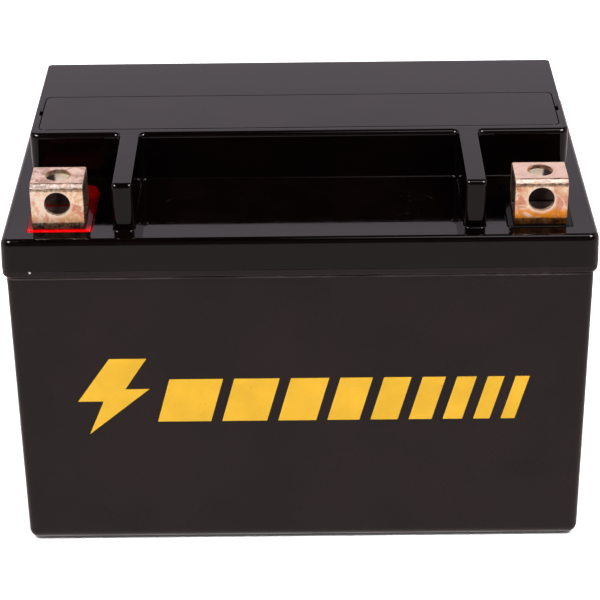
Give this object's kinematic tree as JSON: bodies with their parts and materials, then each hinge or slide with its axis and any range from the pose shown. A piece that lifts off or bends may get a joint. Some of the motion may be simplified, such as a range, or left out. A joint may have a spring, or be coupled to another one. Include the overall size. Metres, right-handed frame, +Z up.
{
  "type": "motorcycle battery",
  "caption": "Sealed motorcycle battery: black ledged case, flush vent cover, folded copper terminals, resin seals.",
  "frame": {"origin": "centre of the base, on the face the battery stands on", "axes": "+X along the length towards the negative terminal, +Y from the terminal side to the rear, +Z up"},
  "size_m": [0.15, 0.087, 0.105],
  "materials": {
    "case_plastic": "satin moulded polypropylene",
    "lid_plastic": "glossy moulded polypropylene",
    "cover_plastic": "satin-gloss moulded polypropylene",
    "terminal_copper": "folded copper strip, tarnished in patches",
    "red_resin": "glossy cast epoxy",
    "black_resin": "glossy cast epoxy",
    "cap_rubber": "moulded rubber",
    "cast_lead": "cast lead, dull",
    "positive_paste": "lead dioxide paste on a lead grid",
    "negative_paste": "sponge lead paste on a lead grid",
    "glass_mat": "absorbent glass mat"
  },
  "bodies": {
    "battery": {"container": "case_plastic", "lid": "lid_plastic", "positive_terminal": "terminal_copper", "negative_terminal": "terminal_copper", "positive_terminal_seal": "red_resin", "negative_terminal_seal": "black_resin", "positive_post": "cast_lead", "negative_post": "cast_lead", "positive_plates_1": "positive_paste", "negative_plates_1": "negative_paste", "separators_1": "glass_mat", "positive_strap_1": "cast_lead", "negative_strap_1": "cast_lead", "positive_plates_2": "positive_paste", "negative_plates_2": "negative_paste", "separators_2": "glass_mat", "positive_strap_2": "cast_lead", "negative_strap_2": "cast_lead", "positive_plates_3": "positive_paste", "negative_plates_3": "negative_paste", "separators_3": "glass_mat", "positive_strap_3": "cast_lead", "negative_strap_3": "cast_lead", "positive_plates_4": "positive_paste", "negative_plates_4": "negative_paste", "separators_4": "glass_mat", "positive_strap_4": "cast_lead", "negative_strap_4": "cast_lead", "positive_plates_5": "positive_paste", "negative_plates_5": "negative_paste", "separators_5": "glass_mat", "positive_strap_5": "cast_lead", "negative_strap_5": "cast_lead", "positive_plates_6": "positive_paste", "negative_plates_6": "negative_paste", "separators_6": "glass_mat", "positive_strap_6": "cast_lead", "negative_strap_6": "cast_lead", "intercell_weld_1": "cast_lead", "intercell_weld_2": "cast_lead", "intercell_weld_3": "cast_lead", "intercell_weld_4": "cast_lead", "intercell_weld_5": "cast_lead"},
    "vent_cover": {"vent_cover_strip": "cover_plastic"},
    "valve_1": {"valve_cap_1": "cap_rubber"},
    "valve_2": {"valve_cap_2": "cap_rubber"},
    "valve_3": {"valve_cap_3": "cap_rubber"},
    "valve_4": {"valve_cap_4": "cap_rubber"},
    "valve_5": {"valve_cap_5": "cap_rubber"},
    "valve_6": {"valve_cap_6": "cap_rubber"}
  },
  "joints": [
    {"name": "vent_cover_lift", "type": "slide", "parent": "battery", "child": "vent_cover", "axis": [0, 0, 1], "range_m": [0, 0.03]},
    {"name": "valve_lift_1", "type": "slide", "parent": "battery", "child": "valve_1", "axis": [0, 0, 1], "range_m": [0, 0.0008]},
    {"name": "valve_lift_2", "type": "slide", "parent": "battery", "child": "valve_2", "axis": [0, 0, 1], "range_m": [0, 0.0008]},
    {"name": "valve_lift_3", "type": "slide", "parent": "battery", "child": "valve_3", "axis": [0, 0, 1], "range_m": [0, 0.0008]},
    {"name": "valve_lift_4", "type": "slide", "parent": "battery", "child": "valve_4", "axis": [0, 0, 1], "range_m": [0, 0.0008]},
    {"name": "valve_lift_5", "type": "slide", "parent": "battery", "child": "valve_5", "axis": [0, 0, 1], "range_m": [0, 0.0008]},
    {"name": "valve_lift_6", "type": "slide", "parent": "battery", "child": "valve_6", "axis": [0, 0, 1], "range_m": [0, 0.0008]}
  ]
}
